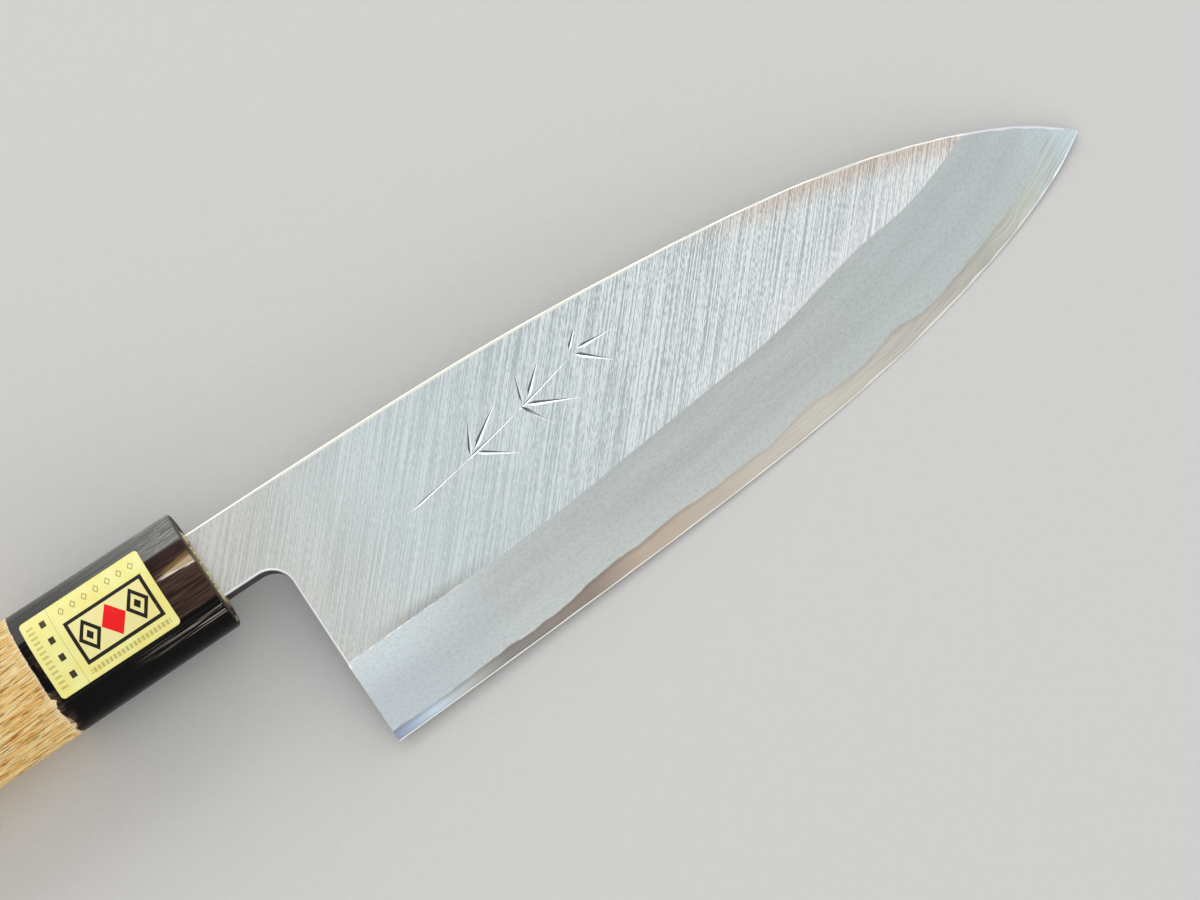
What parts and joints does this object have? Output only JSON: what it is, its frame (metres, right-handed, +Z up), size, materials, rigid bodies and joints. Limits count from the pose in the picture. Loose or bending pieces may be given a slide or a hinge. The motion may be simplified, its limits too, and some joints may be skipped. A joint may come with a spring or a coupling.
{
  "type": "deba knife",
  "caption": "Heavy single-bevel fish knife: laminated blade with flat upper face and wide bevel, tang set in a D-section wooden handle behind a horn ferrule.",
  "frame": {"origin": "centre of the footprint of the whole knife, on the plane of the table that it lies on: its back down, touching at the ferrule's front rim and at the edge near the tip", "axes": "+X from the handle's butt towards the tip, +Y from the cutting edge towards the spine, +Z up out of the bevelled face"},
  "size_m": [0.326, 0.0618, 0.0253],
  "materials": {
    "blade_iron": "fine cross-brushed soft iron",
    "edge_steel": "stone-polished hard steel",
    "horn_ferrule": "polished buffalo horn",
    "wood_handle": "bare sanded magnolia",
    "mouth_seal": "rough resin",
    "foil_label": "printed foil"
  },
  "bodies": {
    "root": {"blade_iron": "blade_iron", "edge_steel": "edge_steel", "horn_ferrule": "horn_ferrule", "wood_handle": "wood_handle", "mouth_seal": "mouth_seal", "foil_label": "foil_label"}
  },
  "joints": []
}
